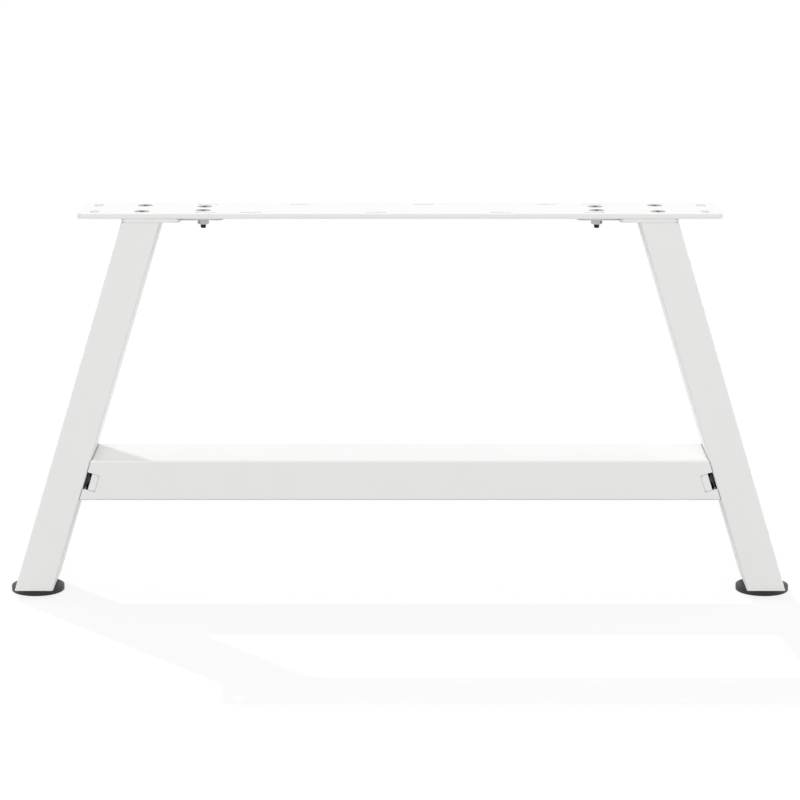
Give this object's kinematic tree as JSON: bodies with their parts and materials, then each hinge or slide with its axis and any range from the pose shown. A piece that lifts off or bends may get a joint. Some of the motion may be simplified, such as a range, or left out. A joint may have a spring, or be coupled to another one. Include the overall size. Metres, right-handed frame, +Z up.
{
  "type": "trestle table leg",
  "caption": "Low A-shaped trestle leg of rectangular steel tube: slotted flat top plate, two leaning legs, a crossbar and round levelling feet.",
  "frame": {"origin": "on the floor, under the middle of the frame", "axes": "+X along the frame from the left leg to the right, +Y from the front to the back, +Z up"},
  "size_m": [0.8152, 0.08, 0.404],
  "materials": {
    "white_powder_coat": "smooth satin powder coat",
    "black_zinc": "black zinc plating, satin",
    "bright_zinc": "bright zinc plating",
    "black_plastic": "moulded, fine matt grain"
  },
  "bodies": {
    "frame": {"top_plate": "white_powder_coat", "crossbar": "white_powder_coat", "left_leg_tube": "white_powder_coat", "left_leg_flange": "white_powder_coat", "left_foot_plate": "white_powder_coat", "left_bar_bracket": "white_powder_coat", "left_outer_front_bolt": "black_zinc", "left_outer_front_nut": "bright_zinc", "left_outer_back_bolt": "black_zinc", "left_outer_back_nut": "bright_zinc", "left_inner_front_bolt": "black_zinc", "left_inner_front_nut": "bright_zinc", "left_inner_back_bolt": "black_zinc", "left_inner_back_nut": "bright_zinc", "left_bar_front_bolt": "black_zinc", "left_bar_front_nut": "black_zinc", "left_bar_back_bolt": "black_zinc", "left_bar_back_nut": "black_zinc", "left_foot_nut": "bright_zinc", "right_leg_tube": "white_powder_coat", "right_leg_flange": "white_powder_coat", "right_foot_plate": "white_powder_coat", "right_bar_bracket": "white_powder_coat", "right_outer_front_bolt": "black_zinc", "right_outer_front_nut": "bright_zinc", "right_outer_back_bolt": "black_zinc", "right_outer_back_nut": "bright_zinc", "right_inner_front_bolt": "black_zinc", "right_inner_front_nut": "bright_zinc", "right_inner_back_bolt": "black_zinc", "right_inner_back_nut": "bright_zinc", "right_bar_front_bolt": "black_zinc", "right_bar_front_nut": "black_zinc", "right_bar_back_bolt": "black_zinc", "right_bar_back_nut": "black_zinc", "right_foot_nut": "bright_zinc"},
    "left_stud": {"left_foot_stud": "bright_zinc"},
    "left_pad": {"left_foot_pad": "black_plastic"},
    "right_stud": {"right_foot_stud": "bright_zinc"},
    "right_pad": {"right_foot_pad": "black_plastic"}
  },
  "joints": [
    {"name": "left_foot_height", "type": "slide", "parent": "frame", "child": "left_stud", "axis": [0, 0, -1], "range_m": [0, 0.009]},
    {"name": "left_foot_turn", "type": "hinge", "parent": "left_stud", "child": "left_pad", "pos_m": [-0.38013, 0, 0], "axis": [0, 0, -1], "range_deg": [0, 2592]},
    {"name": "right_foot_height", "type": "slide", "parent": "frame", "child": "right_stud", "axis": [0, 0, -1], "range_m": [0, 0.009]},
    {"name": "right_foot_turn", "type": "hinge", "parent": "right_stud", "child": "right_pad", "pos_m": [0.38013, 0, 0], "axis": [0, 0, -1], "range_deg": [0, 2592]}
  ],
  "couplings": [
    {"joint": "left_foot_height", "follows": "left_foot_turn", "m_per_rad": 0.00019894},
    {"joint": "right_foot_height", "follows": "right_foot_turn", "m_per_rad": 0.00019894}
  ]
}
